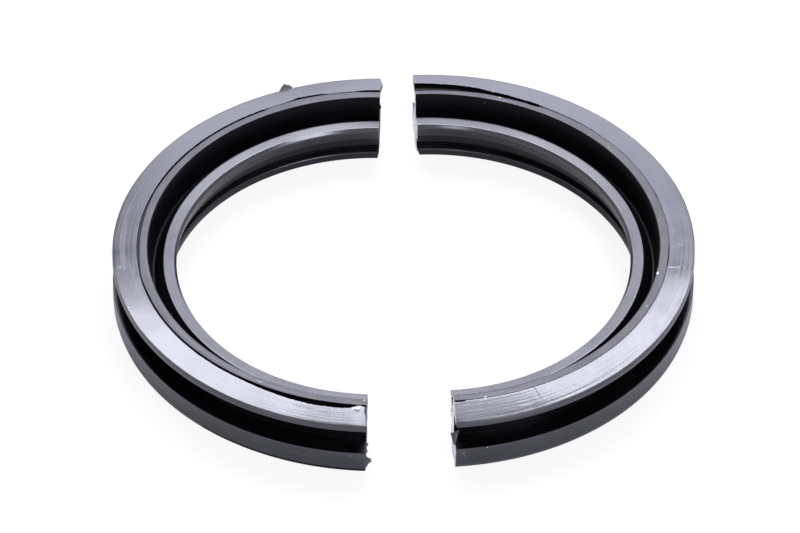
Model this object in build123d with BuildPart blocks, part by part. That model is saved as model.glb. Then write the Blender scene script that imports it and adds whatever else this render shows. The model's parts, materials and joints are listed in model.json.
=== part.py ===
"""Two-piece rear main seal: a pair of moulded rubber half rings, laid side by side with the lips up.

Millimetres. The half rings lie on the plane Z = 0. The origin is midway between their centres, at the
bottom, +Z is the seal's axis and +X points from the left half to the right half.
"""
import os

from build123d import *

# The shaft, and how far the free lip is smaller than it, measured on the radius
shaft_diameter = 76.2
lip_interference = 0.25

# Widths across the section, from the lip out to the outer wall. They add up to the outer radius
lip_top_width = 2.5
lip_back_run = 1.75
recess_floor_width = 0.3
recess_draft = 0.9
rim_width = 6.7

# Heights of the outer wall, from the bottom up. They add up to the height of the seal
lower_flange = 4.6
groove_height = 5.4
upper_flange = 2.3

# Groove round the outside, which the rib of the housing fills
groove_depth = 4.2
groove_bevel = 0.4

# Top of the rim: a moulded bead beside the recess, a narrow slit, then a ground land that falls outward
bead_width = 1.2
bead_bevel = 0.15
slit_width = 0.6
slit_depth = 0.8
land_fall = 0.6
land_edge_break = 0.25

# Recess behind the lip, which lets the lip flex
recess_depth = 5.75

# Lip: its top lies below the bead, with a bevel and a narrow sealing band at its edge
lip_drop = 3.4
lip_bevel = 0.45
sealing_band = 0.3
lip_back_bevel = 0.15

# Under the lip: a cone that opens downward, a relief groove, and a foot with a round upper corner
cone_opening = 1.55
foot_setback = 1.75
foot_height = 1.35
foot_round = 0.5
foot_bevel = 0.35
relief_depth = 1.4
relief_height = 2.2
relief_draft = 0.4

# Lower outer edge
bottom_chamfer = 0.5

# How the halves lie: half the distance between their centres, how far one is ahead of the other,
# how far each is turned, and what the cut took off each half at its two ends
centre_spread = 5.3
centre_stagger = 0.5
left_turn = -2.05
right_turn = 3.95
cut_allowance = 0.45

lip_radius = shaft_diameter / 2 - lip_interference
lip_top_radius = lip_radius + lip_top_width
recess_floor_inner = lip_top_radius + lip_back_run
recess_floor_outer = recess_floor_inner + recess_floor_width
recess_mouth = recess_floor_outer + recess_draft
outer_radius = recess_mouth + rim_width
groove_radius = outer_radius - groove_depth
bead_radius = recess_mouth + bead_width
slit_radius = bead_radius + slit_width
foot_radius = lip_radius + foot_setback
relief_radius = foot_radius + relief_depth

groove_top = lower_flange + groove_height
height = groove_top + upper_flange
land_edge_height = height - land_fall
lip_top = height - lip_drop
lip_edge_top = lip_top - lip_bevel
lip_edge_bottom = lip_edge_top - sealing_band
recess_floor = height - recess_depth
relief_top = foot_height + relief_height

# The section, clockwise from the sealing lip over the top and round the outside: radius, height and
# corner round of each point
section = [
    (lip_radius, lip_edge_bottom, 0),
    (lip_radius, lip_edge_top, 0),
    (lip_radius + lip_bevel, lip_top, 0),
    (lip_top_radius - lip_back_bevel, lip_top, 0),
    (lip_top_radius, lip_top - lip_back_bevel, 0),
    (recess_floor_inner, recess_floor, 0),
    (recess_floor_outer, recess_floor, 0),
    (recess_mouth, height - bead_bevel, 0),
    (recess_mouth + bead_bevel, height, 0),
    (bead_radius, height, 0),
    (bead_radius, height - slit_depth, 0),
    (slit_radius, height - slit_depth, 0),
    (slit_radius, height, 0),
    (outer_radius - land_edge_break, land_edge_height, 0),
    (outer_radius, land_edge_height - land_edge_break, 0),
    (outer_radius, groove_top, 0),
    (groove_radius + groove_bevel, groove_top, 0),
    (groove_radius, groove_top - groove_bevel, 0),
    (groove_radius, lower_flange + groove_bevel, 0),
    (groove_radius + groove_bevel, lower_flange, 0),
    (outer_radius, lower_flange, 0),
    (outer_radius, bottom_chamfer, 0),
    (outer_radius - bottom_chamfer, 0, 0),
    (foot_radius + foot_bevel, 0, 0),
    (foot_radius, foot_bevel, 0),
    (foot_radius, foot_height, foot_round),
    (relief_radius, foot_height + relief_draft, 0),
    (relief_radius, relief_top - relief_draft, 0),
    (lip_radius + cone_opening, relief_top, 0),
]
section_points = [(radius, level) for radius, level, corner_round in section]
section_rounds = [corner_round for radius, level, corner_round in section]


def revolve_half(centre, first_angle):
    """Sweep the section half a turn round the seal's axis, then trim both ends to the cut plane."""
    start_ray = Vector(1, 0, 0).rotate(Axis.Z, first_angle)
    into_half = Vector(0, 1, 0).rotate(Axis.Z, first_angle)
    section_plane = Plane(origin=centre, x_dir=start_ray, z_dir=-into_half)
    cut_plane = Plane(origin=centre + into_half * cut_allowance, x_dir=start_ray, z_dir=into_half)
    with BuildPart() as half_ring:
        with BuildSketch(section_plane):
            with BuildLine():
                FilletPolyline(*section_points, radius=section_rounds, close=True)
            make_face()
        revolve(axis=Axis(centre, (0, 0, 1)), revolution_arc=180)
        split(bisect_by=cut_plane, keep=Keep.TOP)
    return half_ring


seal_half_left = revolve_half(Vector(-centre_spread, -centre_stagger, 0), 90 + left_turn)
seal_half_left.part.label = "seal_half_left"

seal_half_right = revolve_half(Vector(centre_spread, centre_stagger, 0), -90 + right_turn)
seal_half_right.part.label = "seal_half_right"

os.makedirs("parts", exist_ok=True)
export_step(seal_half_left.part, "parts/seal_half_left.step")
export_step(seal_half_right.part, "parts/seal_half_right.step")
print("lip radius", lip_radius, "outer radius", outer_radius, "height", height)
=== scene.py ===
import json
import math

import bpy
import numpy as np
from mathutils import Matrix, Vector
from mathutils.geometry import delaunay_2d_cdt


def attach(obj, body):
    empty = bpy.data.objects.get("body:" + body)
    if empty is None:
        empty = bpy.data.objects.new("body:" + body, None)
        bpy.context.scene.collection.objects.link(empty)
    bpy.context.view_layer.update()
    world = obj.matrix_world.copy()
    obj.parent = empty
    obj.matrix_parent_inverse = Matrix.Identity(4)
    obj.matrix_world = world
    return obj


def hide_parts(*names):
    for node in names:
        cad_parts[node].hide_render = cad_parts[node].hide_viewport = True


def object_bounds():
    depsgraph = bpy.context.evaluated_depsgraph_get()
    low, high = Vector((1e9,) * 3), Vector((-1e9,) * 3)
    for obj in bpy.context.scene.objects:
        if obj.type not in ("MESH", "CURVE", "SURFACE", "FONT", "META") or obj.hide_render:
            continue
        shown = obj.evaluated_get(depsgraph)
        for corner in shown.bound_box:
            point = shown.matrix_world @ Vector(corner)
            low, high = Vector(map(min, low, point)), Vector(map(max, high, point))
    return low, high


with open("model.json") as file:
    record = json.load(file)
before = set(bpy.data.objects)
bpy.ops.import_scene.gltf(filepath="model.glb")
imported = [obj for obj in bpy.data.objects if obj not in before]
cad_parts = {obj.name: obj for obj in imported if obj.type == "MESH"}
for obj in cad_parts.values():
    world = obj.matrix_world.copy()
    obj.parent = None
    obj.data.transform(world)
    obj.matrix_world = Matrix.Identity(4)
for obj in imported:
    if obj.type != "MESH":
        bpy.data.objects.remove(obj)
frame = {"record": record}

cad_low, cad_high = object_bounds()

# Moulded rubber section
# Both half rings have one section: a sealing lip with a bevelled edge, a flex recess behind it, a
# bead, a slit beside the bead, a ground land that falls outward, and a groove round the outer wall.
# It is swept in millimetres round the seal's axis, and the mesh is written in metres.
metres_per_mm = 0.001
mounts = {mount["name"]: mount for mount in frame["record"]["mounts"]}
lip_radius = mounts["lip_left"]["dims"]["r_mm"]
seal_height = (cad_high.z - cad_low.z) / metres_per_mm
outer_radius = 50.0
lip_drop = 3.4
lip_top_width = 2.5
lip_bevel = 0.45
sealing_band = 0.3
lip_back_run = 1.75
recess_floor_width = 0.3
recess_depth = 5.75
rim_width = 6.7
bead_width = 1.2
slit_width = 0.6
slit_depth = 0.8
land_fall = 0.6
land_crown = 0.1
upper_flange = 2.3
flange_line_top = 1.12
flange_line_middle = 1.06
flange_line_bottom = 0.98
flange_line_depth = 0.07
groove_bottom = 4.6
groove_depth = 4.2
chamfer_height = 0.75
chamfer_width = 0.22
foot_setback = 1.75
foot_height = 1.35
relief_depth = 1.4
relief_bottom = 1.75
relief_top = 3.15
cone_opening = 1.55
cone_bottom = 3.55

lip_top_level = seal_height - lip_drop
lip_back_radius = lip_radius + lip_top_width
recess_level = seal_height - recess_depth
recess_mouth = outer_radius - rim_width
bead_edge = recess_mouth + bead_width
slit_edge = bead_edge + slit_width
slit_level = seal_height - slit_depth
land_level = seal_height - land_fall
land_width = outer_radius - slit_edge
groove_top = seal_height - upper_flange
groove_radius = outer_radius - groove_depth
foot_radius = lip_radius + foot_setback
relief_radius = foot_radius + relief_depth

# The section's outline, clockwise from the sealing lip over the top and round the outside: the name
# of the run that starts at each corner, then the corner's radius, height and round
corners = [
    ("lip edge", lip_radius, lip_top_level - (lip_bevel + sealing_band), 0.05),
    ("lip bevel", lip_radius, lip_top_level - lip_bevel, 0.05),
    ("lip top", lip_radius + lip_bevel, lip_top_level, 0.05),
    ("lip back", lip_back_radius, lip_top_level, 0.22),
    ("recess", lip_back_radius + lip_back_run, recess_level, 0.12),
    ("recess wall", lip_back_radius + (lip_back_run + recess_floor_width), recess_level, 0.12),
    ("bead", recess_mouth, seal_height, 0.2),
    ("slit", bead_edge, seal_height, 0.1),
    ("slit", bead_edge, slit_level, 0.04),
    ("slit", slit_edge, slit_level, 0.04),
    ("land", slit_edge, seal_height, 0.05),
    ("upper flange", outer_radius, land_level, 0.07),
    ("upper flange", outer_radius, groove_top + flange_line_top, 0.02),
    ("upper flange", outer_radius - flange_line_depth, groove_top + flange_line_middle, 0.02),
    ("upper flange", outer_radius, groove_top + flange_line_bottom, 0.02),
    ("groove", outer_radius, groove_top, 0.1),
    ("groove", groove_radius, groove_top, 0.03),
    ("groove", groove_radius, groove_bottom, 0.03),
    ("lower flange", outer_radius, groove_bottom, 0.14),
    ("chamfer", outer_radius, chamfer_height, 0.3),
    ("bottom", outer_radius - chamfer_width, 0.0, 0.03),
    ("foot", foot_radius, 0.0, 0.03),
    ("foot", foot_radius, foot_height, 0.5),
    ("relief", relief_radius, relief_bottom, 0.03),
    ("relief", relief_radius, relief_top, 0.2),
    ("lower cone", lip_radius + cone_opening, cone_bottom, 0.05),
    ("middle cone", lip_radius + 1.12, 4.5, 1.0),
    ("cone", lip_radius + 0.5, 5.9, 4.0),
]
# Names for the faces that have a finish of their own: part of the chamfer, with painted contact shadow, the
# ends and the slivers
other_runs = ["dark chamfer", "dark cut", "torn skin", "pale sliver", "pale cut"]
run_names = [corner[0] for corner in corners] + other_runs
point_spacing = 0.24
spacing_factors = {"lip bevel": 0.5, "lip top": 1.0, "bead": 1.0, "land": 1.0}
wide_spacing_factor = 1.8


def rounded_section():
    """Go round the corners in turn. At each one, put an arc that touches both runs, and divide the
    straight rest of each run into equal steps. Gives radius, height and run number of each point."""
    points = np.array([(radius, level) for name, radius, level, size in corners])
    sizes = np.array([size for name, radius, level, size in corners])
    before = np.roll(points, 1, axis=0) - points
    after = np.roll(points, -1, axis=0) - points
    before /= np.linalg.norm(before, axis=1)[:, None]
    after /= np.linalg.norm(after, axis=1)[:, None]
    half_angle = np.arccos(np.clip((before * after).sum(1), -1, 1)) / 2
    reach = sizes / np.tan(half_angle)
    middle = before + after
    middle /= np.linalg.norm(middle, axis=1)[:, None]
    centres = points + middle * (sizes / np.sin(half_angle))[:, None]
    found = []
    for index in range(len(corners)):
        start = points[index] + before[index] * reach[index] - centres[index]
        stop = points[index] + after[index] * reach[index] - centres[index]
        first = math.atan2(start[1], start[0])
        turn = (math.atan2(stop[1], stop[0]) - first + math.pi) % (2 * math.pi) - math.pi
        share = np.linspace(0, 1, 6 if sizes[index] > 0.3 else 4)
        arc = centres[index] + sizes[index] * np.stack(
            [np.cos(first + turn * share), np.sin(first + turn * share)], axis=1)
        runs = np.where(share < 0.5, index - 1, index) % len(corners)
        found.append(np.column_stack([arc, runs]))
        following = (index + 1) % len(corners)
        run_start = points[index] + after[index] * reach[index]
        run_stop = points[following] + before[following] * reach[following]
        length = np.linalg.norm(run_stop - run_start)
        step = point_spacing * spacing_factors.get(run_names[index], wide_spacing_factor)
        count = max(2, int(length / step) + 1)
        share = np.linspace(0, 1, count + 1)[1:-1, None]
        found.append(np.column_stack(
            [run_start * (1 - share) + run_stop * share, np.full(len(share), index)]))
    found = np.concatenate(found)
    return found[:, 0], found[:, 1], found[:, 2].astype(int)


section_radius, section_level, section_run = rounded_section()
section_steps = np.hypot(np.diff(section_radius, append=section_radius[0]),
                         np.diff(section_level, append=section_level[0]))
section_length = np.concatenate([[0], np.cumsum(section_steps)])


def wobble(angle, seed, wavelengths, strength):
    """Add up sine waves round the ring, each with its own length in millimetres and a random phase,
    scaled so that the sum swings by about the strength."""
    phases = np.random.default_rng(seed).uniform(0, 2 * math.pi, len(wavelengths))
    arc = np.radians(angle)[..., None] * outer_radius
    waves = np.sin(2 * math.pi * arc / np.array(wavelengths) + phases)
    return strength * waves.sum(-1) / math.sqrt(len(wavelengths))


def lattice_noise(across, up, cell, seed):
    """Random heights from -1 to 1 on a square lattice, smoothly blended between its points."""
    heights = np.random.default_rng(seed).uniform(-1, 1, (256, 256))
    column = across / cell
    row = up / cell
    left = np.floor(column).astype(int)
    low = np.floor(row).astype(int)
    x = column - left
    y = row - low
    x = x * x * (3 - 2 * x)
    y = y * y * (3 - 2 * y)
    corner = [[heights[(left + i) % 256, (low + j) % 256] for j in (0, 1)] for i in (0, 1)]
    return ((corner[0][0] * (1 - x) + corner[1][0] * x) * (1 - y)
            + (corner[0][1] * (1 - x) + corner[1][1] * x) * y)


cut_allowance = 0.45


def cut_depth(radius, level, seed, bumps):
    """How far the cut goes into the half ring, in millimetres: the allowance, plus coarse and fine
    lattice noise, less a bell-shaped bump for each (radius, level, width, height, rise)."""
    depth = (cut_allowance + 0.05 * lattice_noise(radius, level, 1.7, seed)
             + 0.035 * lattice_noise(radius, level, 0.55, seed + 1)
             + 0.02 * lattice_noise(radius, level, 0.27, seed + 2))
    for bump_radius, bump_level, width, height, rise in bumps:
        depth = depth - rise * np.exp(-((radius - bump_radius) / width) ** 2
                                      - ((level - bump_level) / height) ** 2)
    return depth


# Half rings
# Each half ring is one moulding, cut from a full ring, so its ends are rough. The slit beside the
# bead opens and closes along the ring. Torn slivers of flash stand on the left half's edges, and the
# right half's torn flap hangs free in its groove.
crowding = 0.45
cut_reach = 1.1
painted_shadow_chamfer_start = 229
painted_shadow_chamfer_stop = 269
lattice_step = 0.23
lattice_radius = 37.9
lattice_level = 0.12
lattice_jitter = 0.07
lattice_margin = 0.1


def half_ring(centre, first_angle, slit_shape, lip_tilt, land_edge, first_bumps, last_bumps,
              cut_run, seed):
    """Carry the section round half a turn, as a grid of section points by angles. The slit's two
    edges and depth, the inward tilt of the lip's top, and how far the land's outer edge is trimmed and
    lowered change with the angle. The end rings slide along the surface to a rough cut, and triangles
    between the section's points and a jittered lattice close each end."""
    columns = 340
    share = np.linspace(0, 1, columns)
    turned = 180 * (share - crowding / (2 * math.pi) * np.sin(2 * math.pi * share))
    angle = first_angle + turned
    shape_angle, shape_inner, shape_outer, shape_depth = np.array(slit_shape).T
    inner = np.interp(angle, shape_angle, shape_inner)
    outer = np.interp(angle, shape_angle, shape_outer)
    depth = np.interp(angle, shape_angle, shape_depth)
    gap = outer - inner
    inner = inner + wobble(angle, seed, (7.3, 3.1, 1.9), 0.012)
    outer = outer + wobble(angle, seed + 1, (5.7, 2.3, 1.4, 1.1), 0.02) * np.clip(gap / 0.5, 0.2, 2)
    radius = np.repeat(section_radius[:, None], columns, axis=1)
    level = np.repeat(section_level[:, None], columns, axis=1)

    top = (section_radius >= recess_mouth) & (section_level > land_level - 0.4)
    base = section_radius[top][:, None]
    on_bead = recess_mouth + (base - recess_mouth) * (inner - recess_mouth) / (bead_edge - recess_mouth)
    in_slit = inner + (base - bead_edge) * (outer - inner) / (slit_edge - bead_edge)
    on_land = outer + (base - slit_edge) * (outer_radius - outer) / land_width
    radius[top] = np.where(base < bead_edge, on_bead, np.where(base < slit_edge, in_slit, on_land))
    slit_points = np.isin(section_run, [i for i, run in enumerate(run_names) if run == "slit"])
    below = seal_height - section_level
    depth_share = depth / (seal_height - slit_level)
    level[slit_points] = seal_height - below[slit_points][:, None] * depth_share
    land_points = top & ~slit_points & (section_radius > slit_edge - 0.1)
    straight = np.clip((section_radius - slit_edge) / land_width, 0, None)[:, None]
    crowned = np.clip((radius - slit_edge) / land_width, 0, None)
    crowned = crowned * (1 - land_crown + land_crown * crowned)
    level[land_points] += (land_fall * (straight - crowned))[land_points]
    tilt = np.tan(np.radians(np.interp(angle, *np.array(lip_tilt).T)))
    on_lip = np.clip((section_level - lip_top_level + 2) / 1.2, 0, 1)
    on_lip = on_lip * (section_radius < lip_back_radius + 0.3)
    level -= (on_lip * (lip_back_radius - section_radius))[:, None] * tilt
    edge_angle, edge_trim, edge_drop = np.array(land_edge).T
    to_edge = np.clip((section_radius - slit_edge) / land_width, 0, 1)
    to_edge = to_edge * (section_level > groove_top - 0.2)
    radius -= to_edge[:, None] * np.interp(angle, edge_angle, edge_trim)
    above_groove = np.clip((section_level - groove_top - 0.3) / (land_level - groove_top - 0.3), 0, 1)
    level -= (to_edge * above_groove)[:, None] * np.interp(angle, edge_angle, edge_drop)

    edge_wear = np.clip(wobble(angle, seed + 2, (31, 13, 5.3, 2.9), 0.02) + 0.02, 0, 0.08)
    at_edge = np.exp(-((section_radius - outer_radius) / 0.3) ** 2
                     - ((section_level - land_level) / 0.35) ** 2)
    radius -= at_edge[:, None] * edge_wear

    arc = np.radians(turned) * outer_radius
    first_depth = cut_depth(radius[:, 0], level[:, 0], seed + 3, first_bumps)
    last_depth = cut_depth(radius[:, -1], level[:, -1], seed + 6, last_bumps)
    near_first = np.exp(-(arc / cut_reach) ** 2)
    near_last = np.exp(-((arc[-1] - arc) / cut_reach) ** 2)
    swing = np.radians(angle) + np.arcsin(first_depth[:, None] / radius) * near_first
    swing = swing - np.arcsin(last_depth[:, None] / radius) * near_last
    grid = np.stack(
        [centre[0] + radius * np.cos(swing), centre[1] + radius * np.sin(swing), level], axis=-1)

    rows = len(section_radius)
    number = np.arange(rows * columns).reshape(rows, columns)
    next_row = np.roll(number, -1, axis=0)
    walls = np.stack([number[:, :-1], next_row[:, :-1], next_row[:, 1:], number[:, 1:]], axis=-1)
    wall_run = np.repeat(section_run[:, None], columns - 1, axis=1)
    # On the left half's front, from 229 to 269 degrees, the chamfer takes the near-black finish: a painted
    # contact shadow.
    painted_shadow_columns = (angle[:-1] > painted_shadow_chamfer_start) & (angle[:-1] < painted_shadow_chamfer_stop)
    wall_run[np.ix_(section_run == run_names.index("chamfer"), painted_shadow_columns)] = run_names.index("dark chamfer")
    around = np.radians(angle) * outer_radius
    wall_u = np.stack([around[:-1], around[:-1], around[1:], around[1:]], axis=-1)
    wall_u = np.repeat(wall_u[None], rows, axis=0)
    wall_v = np.stack([section_length[:-1], section_length[1:],
                       section_length[1:], section_length[:-1]], axis=-1)
    wall_v = np.repeat(wall_v[:, None], columns - 1, axis=1)

    vertices = [grid.reshape(-1, 3)]
    faces = walls.reshape(-1, 4).tolist()
    runs = wall_run.ravel().tolist()
    coordinates = [np.stack([wall_u.reshape(-1), wall_v.reshape(-1)], axis=-1)]
    made = rows * columns
    for end, (bumps, end_seed) in enumerate(((first_bumps, seed + 3), (last_bumps, seed + 6))):
        column = 0 if end == 0 else columns - 1
        outline = np.column_stack([radius[:, column], level[:, column]])
        across = np.arange(lattice_radius, outer_radius, lattice_step)
        up = np.arange(lattice_level, seal_height, lattice_step)
        lattice = np.stack(np.meshgrid(across, up), axis=-1).reshape(-1, 2)
        random = np.random.default_rng(seed + 9 + end)
        lattice += random.uniform(-lattice_jitter, lattice_jitter, lattice.shape)
        crossing = np.zeros(len(lattice), dtype=int)
        nearest = np.full(len(lattice), 9.0)
        for a, b in zip(outline, np.roll(outline, -1, axis=0)):
            straddles = (a[1] > lattice[:, 1]) != (b[1] > lattice[:, 1])
            reach = a[0] + (lattice[:, 1] - a[1]) / ((b[1] - a[1]) or 1e-9) * (b[0] - a[0])
            crossing += straddles & (lattice[:, 0] < reach)
            nearest = np.minimum(nearest, np.hypot(*(lattice - a).T))
        inside = lattice[(crossing % 2 == 1) & (nearest > lattice_margin)]
        flat = [Vector(point) for point in np.concatenate([outline, inside])]
        loop = [(i, (i + 1) % rows) for i in range(rows)]
        out_points, _, out_faces, origin, _, _ = delaunay_2d_cdt(flat, loop, [], 1, 1e-5)
        origin = np.array([from_points[0] if from_points else -1 for from_points in origin])
        depth_inside = cut_depth(inside[:, 0], inside[:, 1], end_seed, bumps)
        depth_inside += 0.03 * lattice_noise(inside[:, 0], inside[:, 1], 0.31, end_seed + 20)
        turn = math.radians(first_angle + (0 if end == 0 else 180))
        into = 1 if end == 0 else -1
        ray = np.array([math.cos(turn), math.sin(turn)])
        normal = np.array([-math.sin(turn), math.cos(turn)]) * into
        placed = np.array(centre) + inside[:, :1] * ray + depth_inside[:, None] * normal
        vertices.append(np.column_stack([placed, inside[:, 1]]))
        to_mesh = np.where(origin < rows, origin * columns + column, made + origin - rows)
        made += len(inside)
        triangles = np.array(out_faces)
        flat_points = np.array([tuple(point) for point in out_points])
        flat_corners = flat_points[triangles]
        first_side = flat_corners[:, 1] - flat_corners[:, 0]
        second_side = flat_corners[:, 2] - flat_corners[:, 0]
        area = first_side[:, 0] * second_side[:, 1] - first_side[:, 1] * second_side[:, 0]
        wants_turn = (area < 0) if end == 0 else (area > 0)
        triangles[wants_turn] = triangles[wants_turn][:, ::-1]
        faces += to_mesh[triangles].tolist()
        runs += [run_names.index(cut_run)] * len(triangles)
        coordinates.append(flat_points[triangles].reshape(-1, 2))
    return np.concatenate(vertices), faces, runs, np.concatenate(coordinates)


def sliver(corner_points, crown, ragged, thickness, run, seed):
    """A thin torn sheet. Its middle surface blends between the four corners (two at the root, then two
    at the tip), bulges by the crown, and its tip is ragged. Its two faces part by the thickness, which
    falls off towards the tip and the sides, and a rim closes it."""
    rows, columns = 7, 11
    along = np.linspace(0, 1, columns)[None, :, None]
    out = np.linspace(0, 1, rows)[:, None, None]
    root_start, root_stop, tip_stop, tip_start = [np.array(point, dtype=float) for point in corner_points]
    root = root_start * (1 - along) + root_stop * along
    tip = tip_start * (1 - along) + tip_stop * along
    tears = lattice_noise(np.arange(columns) * 1.0, np.zeros(columns), 1.6, seed)[None, :, None]
    tip = tip + (tip - root) * ragged * tears
    middle = root * (1 - out) + tip * out
    facing = np.cross(root_stop - root_start, tip_start - root_start)
    facing = facing / np.linalg.norm(facing)
    middle = middle + facing * crown * 4 * along * (1 - along) * np.sin(math.pi * out)
    half = thickness / 2 * (0.25 + 0.75 * np.sqrt(4 * along * (1 - along))) * (1 - 0.8 * out ** 2)
    upper = (middle + facing * half).reshape(-1, 3)
    lower = (middle - facing * half).reshape(-1, 3)
    number = np.arange(rows * columns).reshape(rows, columns)
    sheet = np.stack([number[:-1, :-1], number[:-1, 1:], number[1:, 1:], number[1:, :-1]], axis=-1)
    sheet = sheet.reshape(-1, 4)
    rim = np.concatenate([number[0, :-1], number[:-1, -1], number[-1, :0:-1], number[:0:-1, 0]])
    next_rim = np.roll(rim, -1)
    below = rows * columns
    edge = np.stack([rim, rim + below, next_rim + below, next_rim], axis=-1)
    faces = np.concatenate([sheet, sheet[:, ::-1] + below, edge])
    vertices = np.concatenate([upper, lower])
    runs = [run_names.index(run)] * len(faces)
    return vertices, faces.tolist(), runs, vertices[faces.ravel()][:, :2]


def ring_point(centre, angle, radius, level):
    """A point by its angle round the seal's axis, its radius and its height."""
    turn = math.radians(angle)
    return (centre[0] + radius * math.cos(turn), centre[1] + radius * math.sin(turn), level)


def end_point(centre, ray_angle, into, proud, radius, level):
    """A point by how far it stands out of the cut end, its radius along the cut, and its height."""
    turn = math.radians(ray_angle)
    inward = (cut_allowance - proud) * into
    return (centre[0] + radius * math.cos(turn) - inward * math.sin(turn),
            centre[1] + radius * math.sin(turn) + inward * math.cos(turn), level)


sharp_angle = math.radians(38)


def build_half(name, node, pieces):
    """Join the pieces' points and faces into one mesh, with their UV map in millimetres."""
    vertices, faces, runs, coordinates = [], [], [], []
    made = 0
    for piece_vertices, piece_faces, piece_runs, piece_coordinates in pieces:
        vertices.append(piece_vertices)
        faces += [[index + made for index in face] for face in piece_faces]
        runs += piece_runs
        coordinates.append(piece_coordinates)
        made += len(piece_vertices)
    mesh = bpy.data.meshes.new(name)
    mesh.from_pydata((np.concatenate(vertices) * metres_per_mm).tolist(), [], faces)
    unrolled = mesh.uv_layers.new(name="unrolled")
    unrolled.uv.foreach_set("vector", np.concatenate(coordinates).astype(np.float32).ravel())
    mesh.polygons.foreach_set("use_smooth", np.ones(len(faces), dtype=bool))
    mesh.set_sharp_from_angle(angle=sharp_angle)
    half = bpy.data.objects.new(name, mesh)
    bpy.context.collection.objects.link(half)
    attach(half, "root")
    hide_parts(node)
    return half, np.array(runs)


left_centre = [value / metres_per_mm for value in mounts["lip_left"]["pos_m"][:2]]
left_first = 87.95
left_slit = [
    (87.7, 45.0, 45.55, 0.6), (92.5, 45.0, 45.5, 0.5), (95.0, 45.1, 45.28, 0.15),
    (101.0, 45.15, 45.3, 0.1), (103.0, 45.2, 45.6, 0.5), (109.0, 45.25, 45.75, 0.6),
    (110.5, 45.15, 45.4, 0.2), (113.0, 45.05, 45.17, 0.08), (117.0, 45.0, 45.15, 0.1),
    (118.5, 44.85, 45.22, 0.7), (150.0, 44.85, 45.2, 0.6), (160.0, 44.9, 45.2, 0.4),
    (170.0, 44.75, 45.35, 0.32), (175.0, 44.75, 45.4, 0.3), (183.0, 44.85, 45.4, 0.3),
    (188.0, 45.1, 45.4, 0.4), (192.0, 45.25, 45.5, 0.5), (197.0, 45.15, 45.45, 0.7),
    (210.0, 45.1, 45.4, 0.8), (225.0, 45.0, 45.4, 0.8), (236.0, 44.95, 45.45, 0.8),
    (244.0, 44.95, 45.75, 0.8), (250.0, 44.95, 46.0, 0.8), (255.0, 44.95, 46.15, 0.8),
    (260.0, 44.95, 46.1, 0.8), (263.5, 45.0, 45.9, 0.7), (265.0, 45.0, 45.3, 0.3),
    (266.0, 45.0, 45.2, 0.2), (267.7, 45.0, 45.5, 0.5), (268.0, 45.0, 45.5, 0.5),
]
left_lip_tilt = [
    (88, 2.0), (100, 3.5), (112, 3.5), (118, 2.6), (130, 3.5), (156, 3.8), (170, 1.8), (182, 0.4),
    (195, 1.0), (218, 1.3), (240, 1.0), (248, 0.6), (256, 0.1), (268, 0.3),
]
left_land_edge = [
    (88, 0.1, 0.1), (98, 0.1, 0.25), (112, 0.15, 0.3), (130, 0.15, 0.28), (150, 0.1, 0.22),
    (165, 0.0, 0.15), (180, 0.0, 0.1), (200, 0.0, 0.15), (225, 0.0, 0.25), (268, 0.0, 0.28),
]
left_back_bumps = [(47.6, 11.6, 1.1, 1.1, 0.5), (43.0, 10.1, 0.45, 0.4, 0.35), (39.6, 0.1, 1.2, 0.7, -0.25)]
left_front_bumps = [
    (47.4, 12.25, 2.3, 0.42, -0.55), (50.0, 11.0, 0.5, 0.5, 0.3), (47.2, 4.4, 0.3, 0.3, 0.5),
    (49.0, 4.4, 0.3, 0.35, 0.45), (49.9, 6.6, 2.5, 0.25, 0.22), (49.8, 3.1, 0.5, 0.5, 0.4),
    (49.5, 0.1, 0.9, 0.5, -0.2),
]
left_nib = sliver(
    [ring_point(left_centre, 108.0, 49.3, 11.35), ring_point(left_centre, 112.2, 49.3, 11.35),
     ring_point(left_centre, 110.4, 50.75, 12.0), ring_point(left_centre, 109.7, 50.8, 12.0)],
    0.1, 0.3, 0.34, "dark cut", 5)
left_second_nib = sliver(
    [ring_point(left_centre, 107.9, 49.35, 11.4), ring_point(left_centre, 109.8, 49.35, 11.4),
     ring_point(left_centre, 109.3, 50.35, 11.75), ring_point(left_centre, 108.9, 50.4, 11.75)],
    0.15, 0.4, 0.3, "torn skin", 6)
left_burr = sliver(
    [end_point(left_centre, left_first + 180, -1, -0.3, 49.8, 0.4),
     end_point(left_centre, left_first + 180, -1, -0.3, 49.8, 3.9),
     end_point(left_centre, left_first + 180, -1, 1.1, 49.6, 2.9),
     end_point(left_centre, left_first + 180, -1, 0.5, 49.5, 1.5)],
    0.08, 0.35, 0.24, "torn skin", 8)
left_curl = sliver(
    [ring_point(left_centre, 263.8, 45.6, 12.15), ring_point(left_centre, 266.2, 45.55, 12.15),
     ring_point(left_centre, 265.6, 46.35, 12.3), ring_point(left_centre, 264.6, 46.3, 12.3)],
    0.06, 0.3, 0.14, "pale sliver", 12)
left_half, left_runs = build_half("left_half", "seal_half_left", [
    half_ring(left_centre, left_first, left_slit, left_lip_tilt, left_land_edge,
              left_back_bumps, left_front_bumps, "dark cut", 11),
    left_nib, left_second_nib, left_burr, left_curl])

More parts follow.
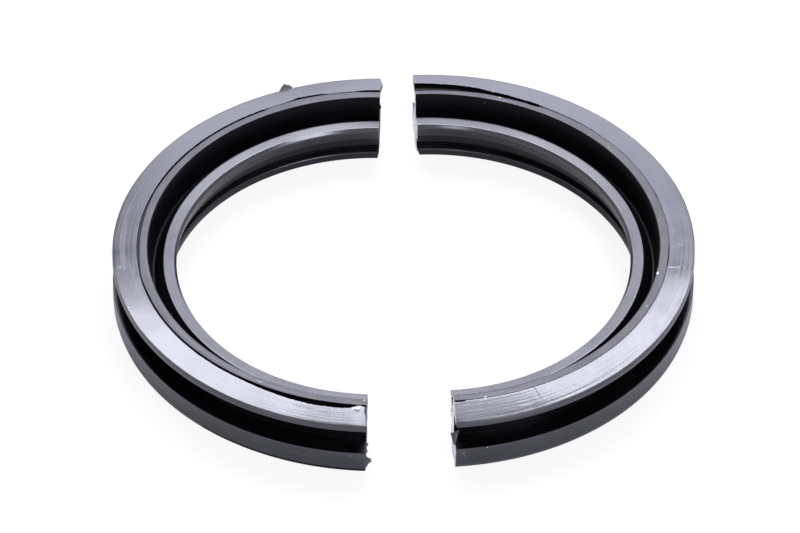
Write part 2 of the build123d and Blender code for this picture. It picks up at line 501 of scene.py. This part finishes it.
right_centre = [value / metres_per_mm for value in mounts["lip_right"]["pos_m"][:2]]
right_first = -86.05
right_slit = [
    (-86.3, 45.0, 45.35, 0.5), (-85.0, 44.95, 45.35, 0.6), (-83.0, 44.95, 45.25, 0.5),
    (-82.3, 44.95, 45.08, 0.08), (-60.0, 45.05, 45.12, 0.04), (-10.0, 45.05, 45.12, 0.04),
    (-8.0, 44.95, 45.18, 0.1), (-3.0, 44.95, 45.2, 0.1), (0.0, 45.05, 45.12, 0.04),
    (15.0, 45.05, 45.12, 0.04), (17.0, 45.0, 45.2, 0.1), (19.0, 45.05, 45.12, 0.04),
    (40.0, 45.05, 45.12, 0.04), (50.0, 45.03, 45.2, 0.1), (60.5, 44.98, 45.2, 0.16),
    (61.5, 44.8, 45.3, 0.4), (62.5, 44.6, 45.45, 0.7), (66.0, 44.7, 45.4, 0.7),
    (70.0, 44.6, 45.55, 0.7), (75.5, 44.75, 45.75, 0.8), (77.0, 44.75, 46.0, 0.8),
    (80.0, 44.6, 46.2, 0.8), (85.0, 44.5, 46.35, 0.8), (90.0, 44.4, 46.5, 0.8),
    (94.0, 44.35, 46.7, 0.8),
]
right_front_bumps = [(45.5, 0.4, 2.6, 1.1, 0.3), (46.8, 11.9, 0.5, 0.4, -0.3), (50.0, 10.0, 0.7, 0.3, -0.25)]
right_back_bumps = [(46.8, 12.0, 1.2, 0.8, 0.12), (44.9, 12.1, 0.8, 0.6, 0.2), (39.7, 0.2, 1.2, 0.9, -0.5)]
right_lip_tilt = [
    (-86, 0.2), (-74, 1.0), (-60, 1.6), (-50, 0.6), (-43, 0.0), (-35, 1.2), (0, 1.4), (8, 1.2),
    (20, 3.8), (58, 3.4), (68, 2.4), (94, 2.2),
]
right_land_edge = [
    (-86, 0, 0.5), (-68, 0, 0.46), (-62, 0, 0.36), (-30, 0, 0.28), (-5, 0, 0.05), (10, 0, 0.0),
    (30, 0, 0.12), (94, 0, 0.12),
]
right_torn_flap = sliver(
    [end_point(right_centre, right_first, 1, 0.02, 49.3, 5.2),
     end_point(right_centre, right_first, 1, 0.3, 49.3, 5.2),
     end_point(right_centre, right_first, 1, 1.0, 49.5, 8.3),
     end_point(right_centre, right_first, 1, -0.6, 49.5, 9.0)],
    0.2, 0.05, 0.26, "torn skin", 21)
right_half, right_runs = build_half("right_half", "seal_half_right", [
    half_ring(right_centre, right_first, right_slit, right_lip_tilt, right_land_edge,
              right_front_bumps, right_back_bumps, "pale cut", 47),
    right_torn_flap])

# Rubber finishes
# Carbon black rubber with a satin moulded skin. The land was ground after moulding, so it is paler,
# with fine lines that run round the ring, and it carries scuffs, nicks and specks of dust. A few faint
# pale strokes on the land and the bead are painted highlights. The groove, the recess, the slit, the
# relief, the lower cones and a strip of the chamfer have near-black copies of the rubber: painted
# shade. The right half's cut ends are pale with a painted grazing reflection, and the left half's are
# dark.


def new_group(name, inputs, outputs):
    """A shader node group with the named inputs (name, kind, default) and outputs (name, kind)."""
    group = bpy.data.node_groups.new(name, "ShaderNodeTree")
    for socket, kind, default in inputs:
        made = group.interface.new_socket(socket, in_out="INPUT", socket_type=kind)
        made.default_value = default
    for socket, kind in outputs:
        group.interface.new_socket(socket, in_out="OUTPUT", socket_type=kind)
    return group, group.nodes.new("NodeGroupInput"), group.nodes.new("NodeGroupOutput")


def set_node(tree, kind, values=None, **settings):
    """Add a node, set its settings, and put plain values on its inputs by name or number."""
    node = tree.nodes.new(kind)
    for setting, value in settings.items():
        setattr(node, setting, value)
    for socket, value in (values or {}).items():
        node.inputs[socket].default_value = value
    return node


surface_group, surface_in, surface_out = new_group(
    "rubber surface",
    [("Along", "NodeSocketFloat", 0.1), ("Across", "NodeSocketFloat", 3.0),
     ("Line Strength", "NodeSocketFloat", 0.5), ("Grain Strength", "NodeSocketFloat", 0.3)],
    [("Lines", "NodeSocketFloat"), ("Clouds", "NodeSocketFloat"), ("Dust", "NodeSocketFloat"),
     ("Height", "NodeSocketFloat")])
place = set_node(surface_group, "ShaderNodeUVMap", uv_map="unrolled")
stretch = set_node(surface_group, "ShaderNodeCombineXYZ")
stretched = set_node(surface_group, "ShaderNodeVectorMath", operation="MULTIPLY")
lines = set_node(surface_group, "ShaderNodeTexNoise", {"Scale": 1.0, "Detail": 4.0, "Roughness": 0.6})
clouds = set_node(surface_group, "ShaderNodeTexNoise", {"Scale": 140.0, "Detail": 3.0})
where_on = set_node(surface_group, "ShaderNodeTexCoord")
grain = set_node(surface_group, "ShaderNodeTexNoise", {"Scale": 4200.0, "Detail": 2.0})
specks = set_node(surface_group, "ShaderNodeTexVoronoi", {"Scale": 420.0, "Randomness": 1.0})
speck_mask = set_node(surface_group, "ShaderNodeMapRange", {1: 0.0, 2: 0.085, 3: 1.0, 4: 0.0})
speck_pick = set_node(surface_group, "ShaderNodeTexNoise", {"Scale": 90.0, "Detail": 0.0})
speck_here = set_node(surface_group, "ShaderNodeMapRange", {1: 0.6, 2: 0.66})
dust = set_node(surface_group, "ShaderNodeMath", operation="MULTIPLY")
line_height = set_node(surface_group, "ShaderNodeMath", operation="MULTIPLY")
grain_height = set_node(surface_group, "ShaderNodeMath", operation="MULTIPLY_ADD")
link = surface_group.links.new
link(surface_in.outputs["Along"], stretch.inputs["X"])
link(surface_in.outputs["Across"], stretch.inputs["Y"])
link(place.outputs["UV"], stretched.inputs[0])
link(stretch.outputs[0], stretched.inputs[1])
link(stretched.outputs[0], lines.inputs["Vector"])
for texture in (clouds, grain, specks, speck_pick):
    link(where_on.outputs["Object"], texture.inputs["Vector"])
link(specks.outputs["Distance"], speck_mask.inputs[0])
link(speck_pick.outputs["Fac"], speck_here.inputs[0])
link(speck_mask.outputs[0], dust.inputs[0])
link(speck_here.outputs[0], dust.inputs[1])
link(lines.outputs["Fac"], line_height.inputs[0])
link(surface_in.outputs["Line Strength"], line_height.inputs[1])
link(grain.outputs["Fac"], grain_height.inputs[0])
link(surface_in.outputs["Grain Strength"], grain_height.inputs[1])
link(line_height.outputs[0], grain_height.inputs[2])
link(lines.outputs["Fac"], surface_out.inputs["Lines"])
link(clouds.outputs["Fac"], surface_out.inputs["Clouds"])
link(dust.outputs[0], surface_out.inputs["Dust"])
link(grain_height.outputs[0], surface_out.inputs["Height"])

mark_group, mark_in, mark_out = new_group(
    "oval mark",
    [("Centre", "NodeSocketVector", (0, 0, 0)), ("Turn", "NodeSocketVector", (0, 0, 0)),
     ("Half Size", "NodeSocketVector", (1, 1, 1)), ("Strength", "NodeSocketFloat", 1.0)],
    [("Mask", "NodeSocketFloat")])
place = set_node(mark_group, "ShaderNodeUVMap", uv_map="unrolled")
around_mark = set_node(mark_group, "ShaderNodeMapping", vector_type="TEXTURE")
from_middle = set_node(mark_group, "ShaderNodeVectorMath", operation="LENGTH")
soft_edge = set_node(mark_group, "ShaderNodeMapRange", {1: 1.0, 2: 0.45}, interpolation_type="SMOOTHSTEP")
scaled = set_node(mark_group, "ShaderNodeMath", operation="MULTIPLY")
link = mark_group.links.new
link(place.outputs["UV"], around_mark.inputs["Vector"])
link(mark_in.outputs["Centre"], around_mark.inputs["Location"])
link(mark_in.outputs["Turn"], around_mark.inputs["Rotation"])
link(mark_in.outputs["Half Size"], around_mark.inputs["Scale"])
link(around_mark.outputs[0], from_middle.inputs[0])
link(from_middle.outputs["Value"], soft_edge.inputs[0])
link(soft_edge.outputs[0], scaled.inputs[0])
link(mark_in.outputs["Strength"], scaled.inputs[1])
link(scaled.outputs[0], mark_out.inputs["Mask"])

top_rows = [i for i, run in enumerate(section_run) if run_names[run] in ("bead", "slit", "land")]
top_rows = [i for i in top_rows if section_level[i] > land_level - 0.2]
wall_rows = [i for i in range(len(section_radius)) if section_radius[i] > outer_radius - 0.1]
wall_rows = [i for i in reversed(wall_rows) if section_level[i] < land_level - 0.2]


def unrolled_place(slit_shape, angle, place):
    """Where a point lies on the UV map, in millimetres along and across: on the bead or the land by
    its radius, or with no slit table on the outer wall by its height."""
    along = math.radians(angle) * outer_radius
    if slit_shape is None:
        return along, np.interp(place, section_level[wall_rows], section_length[wall_rows])
    shape = np.array(slit_shape).T
    inner, outer = (np.interp(angle, shape[0], shape[row]) for row in (1, 2))
    base = np.interp(place, [recess_mouth, inner, outer, outer_radius],
                     [recess_mouth, bead_edge, slit_edge, outer_radius])
    return along, np.interp(base, section_radius[top_rows], section_length[top_rows])


def marks(tree, strokes):
    """One mask for all strokes. Each stroke is an oval from one point to another (slit table, angle
    and radius at both ends, half width, strength), and where two meet the stronger one shows."""
    mask = None
    for slit_shape, first_angle, first_radius, last_angle, last_radius, half_width, strength in strokes:
        first = np.array(unrolled_place(slit_shape, first_angle, first_radius))
        last = np.array(unrolled_place(slit_shape, last_angle, last_radius))
        span = last - first
        stroke = set_node(tree, "ShaderNodeGroup", node_tree=mark_group)
        stroke.inputs["Centre"].default_value = (*(first + last) / 2, 0)
        stroke.inputs["Turn"].default_value = (0, 0, math.atan2(span[1], span[0]))
        stroke.inputs["Half Size"].default_value = (np.hypot(*span) / 2 + half_width, half_width, 1)
        stroke.inputs["Strength"].default_value = strength
        if mask is None:
            mask = stroke.outputs["Mask"]
        else:
            stronger = set_node(tree, "ShaderNodeMath", operation="MAXIMUM")
            tree.links.new(mask, stronger.inputs[0])
            tree.links.new(stroke.outputs["Mask"], stronger.inputs[1])
            mask = stronger.outputs[0]
    return mask


def rubber(name, dark, light, smooth, rough, along, across, lines_by, grain_by, bump, dusty,
           specular=0.5, pale_marks=(), dark_marks=(), dull_marks=()):
    """A rubber finish: its colour goes from dark to light with the lines and clouds, and its roughness
    from smooth to rough. Dust and pale marks lighten it, dark marks blacken it, dull ones roughen it."""
    material = bpy.data.materials.new(name)
    material.use_nodes = True
    tree = material.node_tree
    link = tree.links.new
    shader = tree.nodes["Principled BSDF"]
    shader.inputs["IOR"].default_value = 1.6
    shader.inputs["Specular IOR Level"].default_value = specular
    shader.inputs["Specular Tint"].default_value = (0.9, 0.9, 1.0, 1.0)
    surface = set_node(tree, "ShaderNodeGroup", node_tree=surface_group)
    for socket, value in (("Along", along), ("Across", across),
                          ("Line Strength", lines_by), ("Grain Strength", grain_by)):
        surface.inputs[socket].default_value = value
    blend = set_node(tree, "ShaderNodeMath", operation="MULTIPLY")
    spread = set_node(tree, "ShaderNodeMapRange", {1: 0.16, 2: 0.38})
    tone = set_node(tree, "ShaderNodeMix", data_type="RGBA")
    tone.inputs["A"].default_value = (*dark, 1)
    tone.inputs["B"].default_value = (*light, 1)
    speckled = set_node(tree, "ShaderNodeMix", data_type="RGBA")
    speckled.inputs["B"].default_value = (0.5, 0.5, 0.52, 1)
    dusted = set_node(tree, "ShaderNodeMath", {1: dusty}, operation="MULTIPLY")
    mottle = set_node(tree, "ShaderNodeMath", {1: 0.5, 2: 0.0}, operation="MULTIPLY_ADD")
    gloss = set_node(tree, "ShaderNodeMapRange", {1: 0.35, 2: 0.65, 3: smooth, 4: rough})
    bumps = set_node(tree, "ShaderNodeBump", {"Strength": 1.0, "Distance": bump})
    half_lines = set_node(tree, "ShaderNodeMath", {1: 0.5}, operation="MULTIPLY")
    link(surface.outputs["Lines"], blend.inputs[0])
    link(surface.outputs["Clouds"], blend.inputs[1])
    link(blend.outputs[0], spread.inputs[0])
    link(spread.outputs[0], tone.inputs["Factor"])
    link(surface.outputs["Dust"], dusted.inputs[0])
    link(dusted.outputs[0], speckled.inputs["Factor"])
    link(tone.outputs["Result"], speckled.inputs["A"])
    link(surface.outputs["Lines"], half_lines.inputs[0])
    link(surface.outputs["Clouds"], mottle.inputs[0])
    link(half_lines.outputs[0], mottle.inputs[2])
    link(mottle.outputs[0], gloss.inputs[0])
    link(surface.outputs["Height"], bumps.inputs["Height"])
    link(bumps.outputs["Normal"], shader.inputs["Normal"])
    colour = speckled.outputs["Result"]
    roughness = gloss.outputs[0]
    for strokes, mark_colour, mark_roughness in (
            (dull_marks, None, 0.5), (dark_marks, (0.003, 0.003, 0.004, 1), 0.75),
            (pale_marks, (0.75, 0.75, 0.78, 1), 0.6)):
        if strokes:
            mask = marks(tree, strokes)
            rougher = set_node(tree, "ShaderNodeMix", data_type="FLOAT")
            link(mask, rougher.inputs["Factor"])
            link(roughness, rougher.inputs["A"])
            rougher.inputs["B"].default_value = mark_roughness
            roughness = rougher.outputs["Result"]
            if mark_colour:
                marked = set_node(tree, "ShaderNodeMix", data_type="RGBA")
                link(mask, marked.inputs["Factor"])
                link(colour, marked.inputs["A"])
                marked.inputs["B"].default_value = mark_colour
                colour = marked.outputs["Result"]
    link(colour, shader.inputs["Base Color"])
    link(roughness, shader.inputs["Roughness"])
    return material


# The two faint strokes near the slit on the left half's side, from 166 to 192 degrees, are a painted
# highlight on the land's inner band. The rest are pale specks, scratches and ground lines.
land_scuffs_and_painted_highlights = [
    (left_slit, 186.3, 48.75, 186.5, 48.75, 0.14, 1.0), (left_slit, 199.8, 49.6, 200.0, 49.6, 0.13, 1.0),
    (left_slit, 263.9, 46.15, 265.8, 45.95, 0.32, 1.0), (left_slit, 258.8, 46.6, 262.5, 46.45, 0.06, 0.6),
    (left_slit, 190.5, 45.75, 166.0, 45.7, 0.12, 0.06), (left_slit, 192.0, 46.8, 184.0, 46.9, 0.12, 0.08),
    (left_slit, 256.0, 47.0, 258.5, 46.9, 0.2, 0.2), (left_slit, 177.5, 48.4, 174.0, 48.5, 0.08, 0.1),
    (right_slit, -78.5, 45.35, -77.5, 45.4, 0.09, 0.9), (right_slit, -79.3, 45.5, -79.0, 45.5, 0.08, 0.8),
    (right_slit, -8.5, 47.6, -9.2, 46.5, 0.1, 0.6), (right_slit, -9.1, 46.6, -9.6, 45.3, 0.16, 0.6),
    (right_slit, -1.5, 47.7, -0.4, 46.4, 0.1, 0.22), (right_slit, 21.6, 46.5, 20.8, 46.2, 0.1, 0.2),
    (right_slit, -65.0, 48.7, -64.6, 45.4, 0.1, 0.2), (right_slit, -66.2, 48.5, -66.4, 45.4, 0.12, 0.3),
    (right_slit, -66.8, 48.4, -71.6, 48.2, 0.16, 0.4), (right_slit, -66.8, 47.5, -72.0, 47.2, 0.22, 0.22),
    (right_slit, -52.0, 49.5, -84.5, 49.5, 0.11, 0.16), (right_slit, -74.0, 46.2, -84.5, 46.4, 0.12, 0.09),
    (right_slit, -75.0, 47.5, -84.0, 47.6, 0.1, 0.07),
]
land_dark_marks = [
    (right_slit, -9.2, 47.4, -11.0, 45.4, 0.08, 0.6), (right_slit, -65.4, 48.8, -66.0, 44.6, 0.1, 0.75),
    (right_slit, -84.9, 45.35, -82.7, 45.3, 0.16, 1.0), (right_slit, 5.0, 48.5, -9.0, 48.6, 0.1, 0.4),
    (right_slit, 3.0, 49.2, -12.0, 49.3, 0.09, 0.3), (right_slit, -44.0, 49.0, -84.5, 49.05, 0.15, 0.75),
    (right_slit, -36.0, 48.75, -60.0, 48.7, 0.1, 0.3), (right_slit, -70.0, 48.65, -84.5, 48.7, 0.2, 0.4),
    (right_slit, -76.0, 47.95, -85.0, 48.0, 0.1, 0.35), (right_slit, -73.0, 46.7, -85.0, 46.9, 0.1, 0.3),
    (right_slit, -56.5, 48.1, -57.2, 47.8, 0.1, 0.4), (right_slit, -20.0, 49.85, -84.5, 49.85, 0.15, 0.9),
    (left_slit, 253.0, 48.7, 257.5, 48.8, 0.12, 0.35), (left_slit, 256.5, 47.5, 260.0, 47.7, 0.4, 0.2),
    (left_slit, 231.8, 48.7, 232.2, 48.4, 0.1, 0.3), (left_slit, 200.0, 49.9, 267.0, 49.9, 0.13, 0.85),
]
land_dull_marks = [
    (right_slit, -89.0, 47.4, -75.5, 47.4, 3.4, 0.4), (left_slit, 163.0, 48.3, 191.0, 48.0, 0.8, 0.5),
    (left_slit, 250.0, 46.9, 256.0, 47.2, 0.5, 0.3),
]
# Small strong ovals are pale flecks on the bead. The two long faint lines along the left half's bead are
# painted highlights on its edges, and the broad faint band lightens the right half's bead at the front.
bead_flecks_and_painted_highlights = [
    (right_slit, -12.7, 43.6, -11.7, 43.6, 0.17, 1.0), (right_slit, 71.6, 44.4, 72.3, 44.4, 0.1, 0.9),
    (left_slit, 267.0, 43.7, 267.4, 43.7, 0.14, 1.0), (left_slit, 239.4, 44.2, 241.2, 44.2, 0.1, 0.6),
    (right_slit, -77.4, 44.7, -78.3, 44.9, 0.12, 0.9), (right_slit, -24.5, 44.3, -25.0, 44.4, 0.1, 0.7),
    (left_slit, 194.0, 44.2, 262.0, 44.25, 0.14, 0.07), (left_slit, 160.0, 43.75, 250.0, 43.75, 0.1, 0.05),
    (right_slit, -66.0, 44.6, -86.0, 44.3, 0.5, 0.05),
]
upper_pale_marks = [
    (None, -88.0, 11.3, -62.0, 11.3, 0.3, 0.05), (None, 240.0, 11.3, 256.0, 11.3, 0.3, 0.05),
    (None, -10.0, 10.4, -60.0, 10.4, 0.14, 0.08), (None, 196.0, 10.4, 240.0, 10.4, 0.14, 0.05),
]
upper_dark_marks = [
    (None, -15.0, 11.45, -88.0, 11.45, 0.17, 0.9), (None, 205.0, 11.48, 268.0, 11.48, 0.13, 0.8),
]
lower_pale_marks = [
    (None, -84.2, 4.3, -83.3, 2.2, 0.06, 0.3), (None, -83.4, 4.3, -84.3, 2.6, 0.05, 0.2),
    (None, -78.7, 4.35, -78.6, 4.3, 0.12, 1.0), (None, -63.0, 4.2, -62.9, 4.2, 0.08, 0.5),
    (None, 264.0, 3.9, 264.2, 3.8, 0.1, 0.6), (None, 246.0, 4.3, 246.2, 4.2, 0.09, 0.6),
]
skin = rubber(
    "moulded skin", dark=(0.016, 0.016, 0.019), light=(0.03, 0.03, 0.036),
    smooth=0.3, rough=0.44, along=0.12, across=2.2, lines_by=0.5, grain_by=0.4,
    bump=0.00002, dusty=0.5, specular=0.65, pale_marks=lower_pale_marks)
# Near-black copy of the rubber for the lip's back and the groove: painted shade.
painted_shade_skin = rubber(
    "shaded skin", dark=(0.002, 0.002, 0.0025), light=(0.004, 0.004, 0.005),
    smooth=0.2, rough=0.3, along=0.12, across=2.2, lines_by=0.4, grain_by=0.3,
    bump=0.000012, dusty=0.4, specular=0.22)
flange_skin = rubber(
    "flange skin", dark=(0.018, 0.018, 0.021), light=(0.035, 0.035, 0.04),
    smooth=0.35, rough=0.55, along=0.03, across=5.0, lines_by=0.6, grain_by=0.3,
    bump=0.00002, dusty=0.4, specular=0.55, pale_marks=upper_pale_marks, dark_marks=upper_dark_marks)
lip_skin = rubber(
    "lip skin", dark=(0.02, 0.02, 0.023), light=(0.03, 0.03, 0.034),
    smooth=0.18, rough=0.27, along=0.1, across=3.0, lines_by=0.5, grain_by=0.2,
    bump=0.000007, dusty=0.6, specular=0.46)
bead_skin = rubber(
    "bead skin", dark=(0.012, 0.012, 0.014), light=(0.024, 0.024, 0.028),
    smooth=0.4, rough=0.56, along=0.25, across=3.5, lines_by=0.5, grain_by=0.8,
    bump=0.00003, dusty=0.5, specular=0.42, pale_marks=bead_flecks_and_painted_highlights)
ground_land = rubber(
    "ground land", dark=(0.035, 0.035, 0.042), light=(0.07, 0.07, 0.08),
    smooth=0.08, rough=0.26, along=0.04, across=2.4, lines_by=0.8, grain_by=0.3,
    bump=0.000016, dusty=0.8,
    pale_marks=land_scuffs_and_painted_highlights, dark_marks=land_dark_marks, dull_marks=land_dull_marks)
# Pale colour on the right half's cut ends: a painted grazing reflection of the white table on the black
# rubber.
painted_reflection_cut = rubber(
    "cut rubber", dark=(0.45, 0.45, 0.48), light=(0.9, 0.9, 0.94),
    smooth=0.22, rough=0.4, along=1.5, across=2.0, lines_by=0.4, grain_by=0.4,
    bump=0.00003, dusty=0.2)
pale_sliver = rubber(
    "pale sliver", dark=(0.7, 0.7, 0.73), light=(0.85, 0.85, 0.88),
    smooth=0.4, rough=0.5, along=1.5, across=2.0, lines_by=0.4, grain_by=0.4,
    bump=0.00003, dusty=0.0)
# Near-black copy of the rubber, with little gloss, for the recess, the slit, the relief, the lower cones and
# a strip of the chamfer: painted shade.
painted_deep_shade_skin = rubber(
    "recess skin", dark=(0.002, 0.002, 0.0025), light=(0.004, 0.004, 0.005),
    smooth=0.3, rough=0.4, along=0.12, across=2.2, lines_by=0.4, grain_by=0.3,
    bump=0.000012, dusty=0.4, specular=0.07)
inner_skin = rubber(
    "inner skin", dark=(0.006, 0.006, 0.007), light=(0.013, 0.013, 0.016),
    smooth=0.16, rough=0.26, along=0.12, across=2.2, lines_by=0.4, grain_by=0.3,
    bump=0.000012, dusty=0.5, specular=0.36)
bevel_skin = rubber(
    "bevel skin", dark=(0.012, 0.012, 0.014), light=(0.022, 0.022, 0.026),
    smooth=0.14, rough=0.22, along=0.1, across=3.0, lines_by=0.4, grain_by=0.3,
    bump=0.000006, dusty=0.4)
dark_cut = rubber(
    "dark cut", dark=(0.006, 0.006, 0.007), light=(0.05, 0.05, 0.054),
    smooth=0.4, rough=0.6, along=1.5, across=2.0, lines_by=0.4, grain_by=0.4,
    bump=0.00003, dusty=0.2, specular=0.3)

finishes = [skin, painted_shade_skin, flange_skin, lip_skin, bead_skin, ground_land, painted_reflection_cut, pale_sliver,
            painted_deep_shade_skin, inner_skin, bevel_skin, dark_cut]
finish_by_run = {
    "lip edge": bevel_skin, "lip bevel": bevel_skin, "lip top": lip_skin, "lip back": painted_shade_skin,
    "recess": painted_deep_shade_skin, "recess wall": painted_deep_shade_skin, "bead": bead_skin, "slit": painted_deep_shade_skin,
    "land": ground_land, "upper flange": flange_skin, "groove": painted_shade_skin, "lower flange": skin,
    "chamfer": skin, "bottom": skin, "foot": inner_skin, "relief": painted_deep_shade_skin,
    "lower cone": painted_deep_shade_skin, "middle cone": painted_deep_shade_skin, "cone": inner_skin,
    "dark chamfer": painted_deep_shade_skin, "dark cut": dark_cut, "torn skin": skin,
    "pale sliver": pale_sliver, "pale cut": painted_reflection_cut,
}
finish_numbers = np.array([finishes.index(finish_by_run[run]) for run in run_names])
for half, runs in ((left_half, left_runs), (right_half, right_runs)):
    for finish in finishes:
        half.data.materials.append(finish)
    half.data.polygons.foreach_set("material_index", finish_numbers[runs].astype(np.int32))
    half.data.update()

# Studio table
# A white table top under the seal, which stays white to the camera and keeps a faint shadow.
table_reach = 3
floor_mesh = bpy.data.meshes.new("table_top")
floor_mesh.from_pydata(
    [(-table_reach, -table_reach, 0), (table_reach, -table_reach, 0),
     (table_reach, table_reach, 0), (-table_reach, table_reach, 0)], [], [(0, 1, 2, 3)])
table_top = bpy.data.objects.new("table_top", floor_mesh)
bpy.context.collection.objects.link(table_top)
white_table = bpy.data.materials.new("white table")
white_table.use_nodes = True
tree = white_table.node_tree
tree.nodes.clear()
matt = set_node(tree, "ShaderNodeBsdfDiffuse", {"Color": (0.93, 0.93, 0.95, 1)})
glow = set_node(tree, "ShaderNodeEmission", {"Strength": 1.0})
rays = set_node(tree, "ShaderNodeLightPath")
gloss_or_glass = set_node(tree, "ShaderNodeMath", operation="MAXIMUM")
glow_in_gloss = set_node(tree, "ShaderNodeMath", {1: 0.2}, operation="MULTIPLY")
share_of_glow = set_node(tree, "ShaderNodeMath", {1: 0.88}, operation="MULTIPLY_ADD")
mixed = set_node(tree, "ShaderNodeMixShader")
table_out = set_node(tree, "ShaderNodeOutputMaterial")
tree.links.new(rays.outputs["Is Glossy Ray"], gloss_or_glass.inputs[0])
tree.links.new(rays.outputs["Is Transmission Ray"], gloss_or_glass.inputs[1])
tree.links.new(gloss_or_glass.outputs[0], glow_in_gloss.inputs[0])
tree.links.new(rays.outputs["Is Camera Ray"], share_of_glow.inputs[0])
tree.links.new(glow_in_gloss.outputs[0], share_of_glow.inputs[2])
tree.links.new(share_of_glow.outputs[0], mixed.inputs["Fac"])
tree.links.new(matt.outputs[0], mixed.inputs[1])
tree.links.new(glow.outputs[0], mixed.inputs[2])
tree.links.new(mixed.outputs[0], table_out.inputs["Surface"])
floor_mesh.materials.append(white_table)

# Studio world
# White to the camera and in reflections, and a low even fill for the rest.
world = bpy.data.worlds.new("studio")
bpy.context.scene.world = world
world.use_nodes = True
tree = world.node_tree
tree.nodes.clear()
rays = set_node(tree, "ShaderNodeLightPath")
camera_or_gloss = set_node(tree, "ShaderNodeMath", operation="MAXIMUM")
or_glass = set_node(tree, "ShaderNodeMath", operation="MAXIMUM")
fill = set_node(tree, "ShaderNodeBackground", {"Color": (0.88, 0.89, 1.0, 1), "Strength": 0.28})
white = set_node(tree, "ShaderNodeBackground", {"Color": (1, 1, 1, 1), "Strength": 1.0})
mixed = set_node(tree, "ShaderNodeMixShader")
world_out = set_node(tree, "ShaderNodeOutputWorld")
tree.links.new(rays.outputs["Is Camera Ray"], camera_or_gloss.inputs[0])
tree.links.new(rays.outputs["Is Glossy Ray"], camera_or_gloss.inputs[1])
tree.links.new(camera_or_gloss.outputs[0], or_glass.inputs[0])
tree.links.new(rays.outputs["Is Transmission Ray"], or_glass.inputs[1])
tree.links.new(or_glass.outputs[0], mixed.inputs["Fac"])
tree.links.new(fill.outputs[0], mixed.inputs[1])
tree.links.new(white.outputs[0], mixed.inputs[2])
tree.links.new(mixed.outputs[0], world_out.inputs["Surface"])


# Softboxes
# A wide low softbox and a brighter one above it stand behind the table. The front of the ground
# land mirrors the bright one. Two small ones in front put the thin lines on the lips and the feet.
lamp_distance = 1.6


def softbox(name, azimuth, elevation, width, height, radiance, colour, roll=0):
    """A rectangular lamp at the lamp distance, which faces the seal. Its power is radiance, area and
    pi multiplied. Azimuth 0 is behind the seal, and the roll lowers the lamp's right side."""
    light = bpy.data.lights.new(name, "AREA")
    light.shape = "RECTANGLE"
    light.size = width
    light.size_y = height
    light.energy = radiance * width * height * math.pi
    light.color = colour
    lamp = bpy.data.objects.new(name, light)
    bpy.context.collection.objects.link(lamp)
    side = math.radians(azimuth)
    up = math.radians(elevation)
    away = Vector((math.sin(side) * math.cos(up), math.cos(side) * math.cos(up), math.sin(up)))
    lamp.location = away * lamp_distance
    lamp.rotation_euler = away.to_track_quat("Z", "Y").to_euler()
    lamp.rotation_euler.rotate_axis("Z", math.radians(roll))


softbox("low_softbox", 1.5, 30.5, 0.85, 0.72, 3.4, (0.8, 0.81, 1.0))
softbox("high_softbox", 0.5, 56.6, 1.25, 0.6, 13.4, (0.93, 0.93, 1.0), roll=4)
softbox("front_right_softbox", 140, 46, 0.53, 0.38, 15.0, (0.9, 0.9, 1.0))
softbox("front_left_softbox", 194, 46, 0.27, 0.32, 7.0, (0.9, 0.9, 1.0))

# Camera
# A long lens that looks down on the seal from the front at the photograph's angle.
camera_data = bpy.data.cameras.new("camera")
camera_data.sensor_width = 36
camera_data.lens = 366.0
camera_data.clip_end = 20
camera = bpy.data.objects.new("camera", camera_data)
bpy.context.collection.objects.link(camera)
camera_place = Vector((-0.0182382, -1.1596108, 1.031175))
tilt_down = math.radians(41.464)
roll = math.radians(-0.411)
pan = Matrix.Rotation(math.radians(-0.868), 3, "Z")
forward = Vector((0, math.cos(tilt_down), -math.sin(tilt_down)))
level_right = Vector((1, 0, 0))
level_down = Vector((0, -math.sin(tilt_down), -math.cos(tilt_down)))
right = pan @ (level_right * math.cos(roll) + level_down * math.sin(roll))
down = pan @ (level_down * math.cos(roll) - level_right * math.sin(roll))
backward = -(pan @ forward)
turn = Matrix((right, -down, backward)).transposed()
camera.matrix_world = Matrix.Translation(camera_place) @ turn.to_4x4()
bpy.context.scene.camera = camera
bpy.context.scene.view_settings.view_transform = "Standard"
